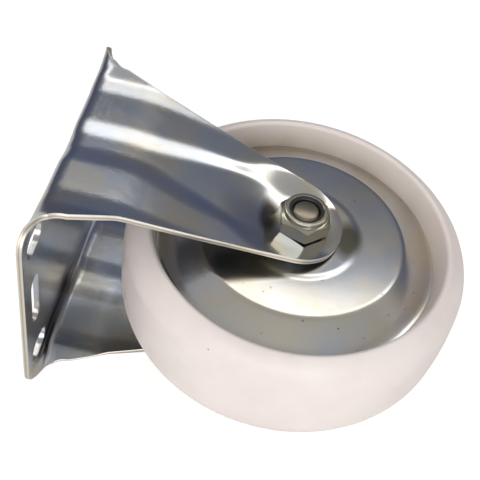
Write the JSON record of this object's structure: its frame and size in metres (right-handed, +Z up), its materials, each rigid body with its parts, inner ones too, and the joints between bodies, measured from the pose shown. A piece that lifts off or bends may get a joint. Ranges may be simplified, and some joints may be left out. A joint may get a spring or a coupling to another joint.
{
  "type": "castor",
  "caption": "Fixed castor: a pressed, zinc plated steel fork with a slotted top plate, and a white nylon wheel with pressed covers that turns on a nutted axle bolt",
  "frame": {"origin": "centre of the top plate's upper mounting face", "axes": "+Z up, out of the mounting face; X along the wheel's rolling direction; Y along the axle, with the nut on the -Y side"},
  "size_m": [0.125, 0.0874, 0.1487],
  "materials": {
    "zinc_sheet": "bright zinc plating on a pressed steel sheet, semi-gloss with a light orange peel",
    "zinc_disc": "zinc plated pressed steel, semi-gloss",
    "zinc_hardware": "zinc plated steel with a warm tint, glossy",
    "nylon": "white nylon, satin",
    "bearing_steel": "ground steel",
    "ball_steel": "polished steel",
    "cage_brass": "pressed cage, satin",
    "black_nylon": "black nylon ring, satin"
  },
  "bodies": {
    "fork": {"fork": "zinc_sheet", "axle_bolt": "zinc_hardware", "lock_nut": "zinc_hardware", "nut_insert": "black_nylon", "axle_tube": "bearing_steel", "spacer_sleeve": "bearing_steel", "near_end_bush": "zinc_hardware", "far_end_bush": "zinc_hardware", "near_inner_race": "bearing_steel", "far_inner_race": "bearing_steel"},
    "wheel": {"wheel_body": "nylon", "near_cover_disc": "zinc_disc", "far_cover_disc": "zinc_disc", "near_outer_race": "bearing_steel", "far_outer_race": "bearing_steel", "near_shields": "zinc_disc", "far_shields": "zinc_disc"},
    "near_ball_set": {"near_balls": "ball_steel", "near_ball_cage": "cage_brass"},
    "far_ball_set": {"far_balls": "ball_steel", "far_ball_cage": "cage_brass"}
  },
  "joints": [
    {"name": "wheel_spin", "type": "hinge", "parent": "fork", "child": "wheel", "pos_m": [0, 0, -0.0862], "axis": [0, 1, 0], "continuous": true},
    {"name": "near_balls_spin", "type": "hinge", "parent": "fork", "child": "near_ball_set", "pos_m": [0, 0, -0.0862], "axis": [0, 1, 0], "continuous": true},
    {"name": "far_balls_spin", "type": "hinge", "parent": "fork", "child": "far_ball_set", "pos_m": [0, 0, -0.0862], "axis": [0, 1, 0], "continuous": true}
  ],
  "couplings": [
    {"joint": "near_balls_spin", "follows": "wheel_spin", "ratio": 0.62},
    {"joint": "far_balls_spin", "follows": "wheel_spin", "ratio": 0.62}
  ]
}
